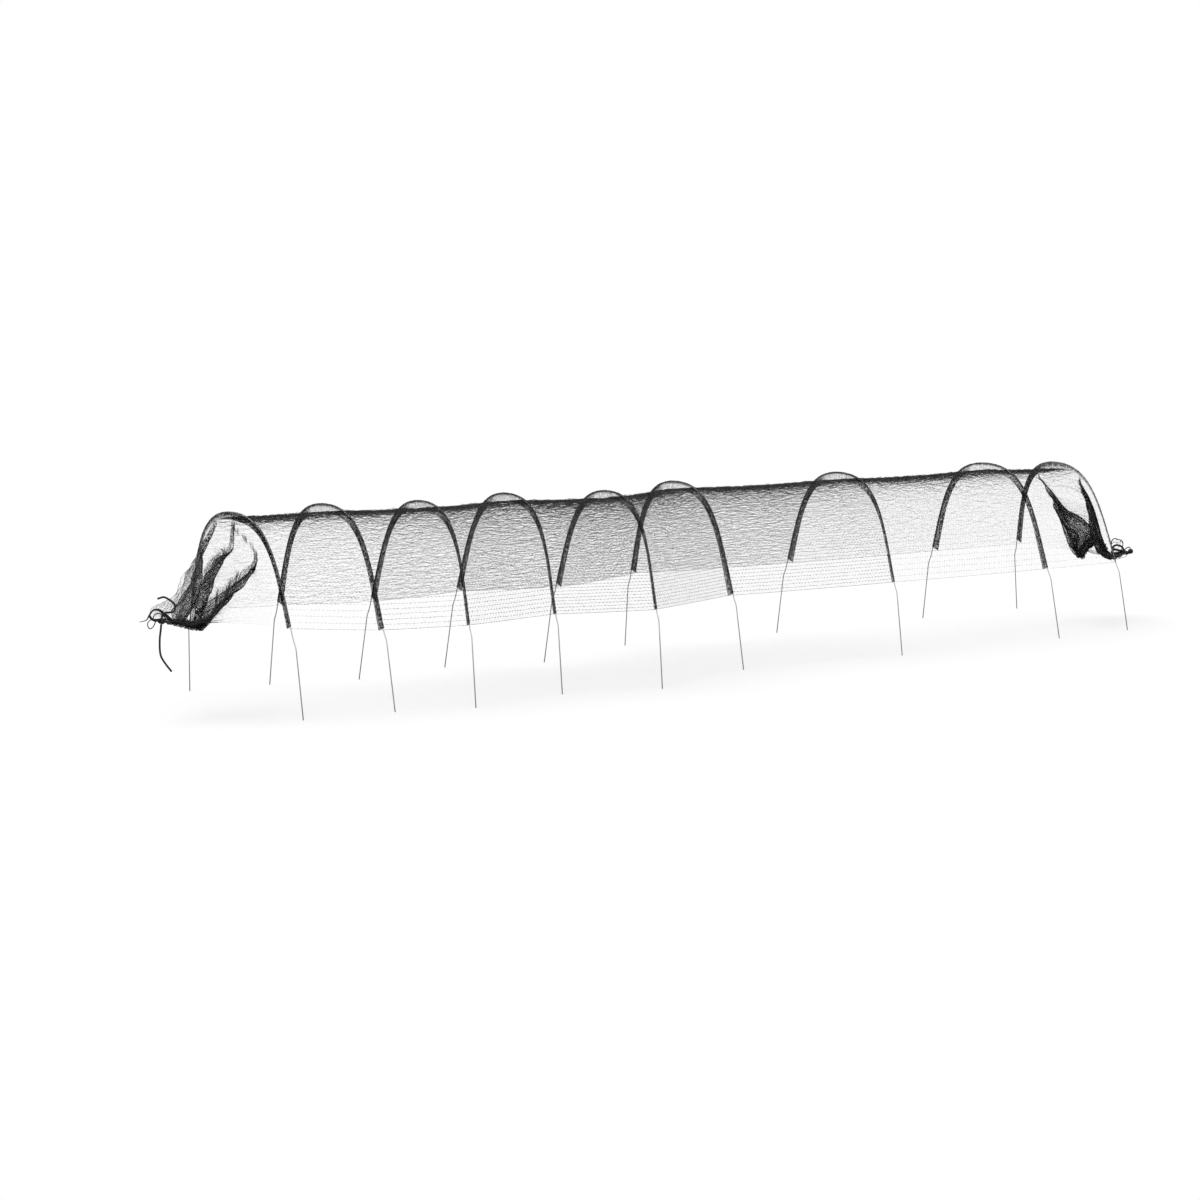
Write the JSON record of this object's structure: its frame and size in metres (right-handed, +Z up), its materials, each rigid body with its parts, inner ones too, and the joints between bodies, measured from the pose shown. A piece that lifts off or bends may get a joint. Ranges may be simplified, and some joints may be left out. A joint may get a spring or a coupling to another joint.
{
  "type": "row cover tunnel",
  "caption": "Garden row cover tunnel: a black net cover, gathered at both ends on drawcords, over sprung wire hoops with bare stakes that slide apart along the bed.",
  "frame": {"origin": "on the ground, midway along the length of the row with its gathered ends, on the row's centre line", "axes": "+X along the row, towards the end with the larger bays; +Z up; +Y away from the picture's viewer"},
  "size_m": [3.5013, 0.7439, 0.5017],
  "materials": {
    "galvanised_steel": "dull zinc grey on a thin round wire",
    "knitted_net": "fine black knitted net, matt",
    "cord": "black braided cord, matt"
  },
  "bodies": {
    "hoop_set_1": {"hoop_1": "galvanised_steel", "sleeve_1": "knitted_net", "net_bay_1": "knitted_net", "end_net_left": "knitted_net", "end_hem_left": "knitted_net", "drawcord_left": "cord", "drawcord_left_knot": "cord", "drawcord_left_tail": "cord", "drawcord_left_end": "cord"},
    "hoop_set_2": {"hoop_2": "galvanised_steel", "sleeve_2": "knitted_net", "net_bay_2": "knitted_net"},
    "hoop_set_3": {"hoop_3": "galvanised_steel", "sleeve_3": "knitted_net", "net_bay_3": "knitted_net"},
    "hoop_set_4": {"hoop_4": "galvanised_steel", "sleeve_4": "knitted_net", "net_bay_4": "knitted_net"},
    "hoop_set_5": {"hoop_5": "galvanised_steel", "sleeve_5": "knitted_net", "net_bay_5": "knitted_net"},
    "hoop_set_6": {"hoop_6": "galvanised_steel", "sleeve_6": "knitted_net", "net_bay_6": "knitted_net"},
    "hoop_set_7": {"hoop_7": "galvanised_steel", "sleeve_7": "knitted_net", "net_bay_7": "knitted_net"},
    "hoop_set_8": {"hoop_8": "galvanised_steel", "sleeve_8": "knitted_net", "net_bay_8": "knitted_net"},
    "hoop_set_9": {"hoop_9": "galvanised_steel", "sleeve_9": "knitted_net", "end_net_right": "knitted_net", "end_hem_right": "knitted_net", "drawcord_right": "cord", "drawcord_right_knot": "cord"}
  },
  "joints": [
    {"name": "bay_1_spacing", "type": "slide", "parent": "hoop_set_1", "child": "hoop_set_2", "axis": [1, 0, 0], "range_m": [-0.1936, 0.3864], "deforming": ["net_bay_1"]},
    {"name": "bay_2_spacing", "type": "slide", "parent": "hoop_set_2", "child": "hoop_set_3", "axis": [1, 0, 0], "range_m": [-0.1742, 0.4058], "deforming": ["net_bay_2"]},
    {"name": "bay_3_spacing", "type": "slide", "parent": "hoop_set_3", "child": "hoop_set_4", "axis": [1, 0, 0], "range_m": [-0.257, 0.313], "deforming": ["net_bay_3"]},
    {"name": "bay_4_spacing", "type": "slide", "parent": "hoop_set_4", "child": "hoop_set_5", "axis": [1, 0, 0], "range_m": [-0.2259, 0.3541], "deforming": ["net_bay_4"]},
    {"name": "bay_5_spacing", "type": "slide", "parent": "hoop_set_5", "child": "hoop_set_6", "axis": [1, 0, 0], "range_m": [-0.3037, 0.2263], "deforming": ["net_bay_5"]},
    {"name": "bay_6_spacing", "type": "slide", "parent": "hoop_set_6", "child": "hoop_set_7", "axis": [1, 0, 0], "range_m": [-0.4877, 0.0873], "deforming": ["net_bay_6"]},
    {"name": "bay_7_spacing", "type": "slide", "parent": "hoop_set_7", "child": "hoop_set_8", "axis": [1, 0, 0], "range_m": [-0.5311, 0.0189], "deforming": ["net_bay_7"]},
    {"name": "bay_8_spacing", "type": "slide", "parent": "hoop_set_8", "child": "hoop_set_9", "axis": [1, 0, 0], "range_m": [-0.2499, 0.2701], "deforming": ["net_bay_8"]}
  ]
}
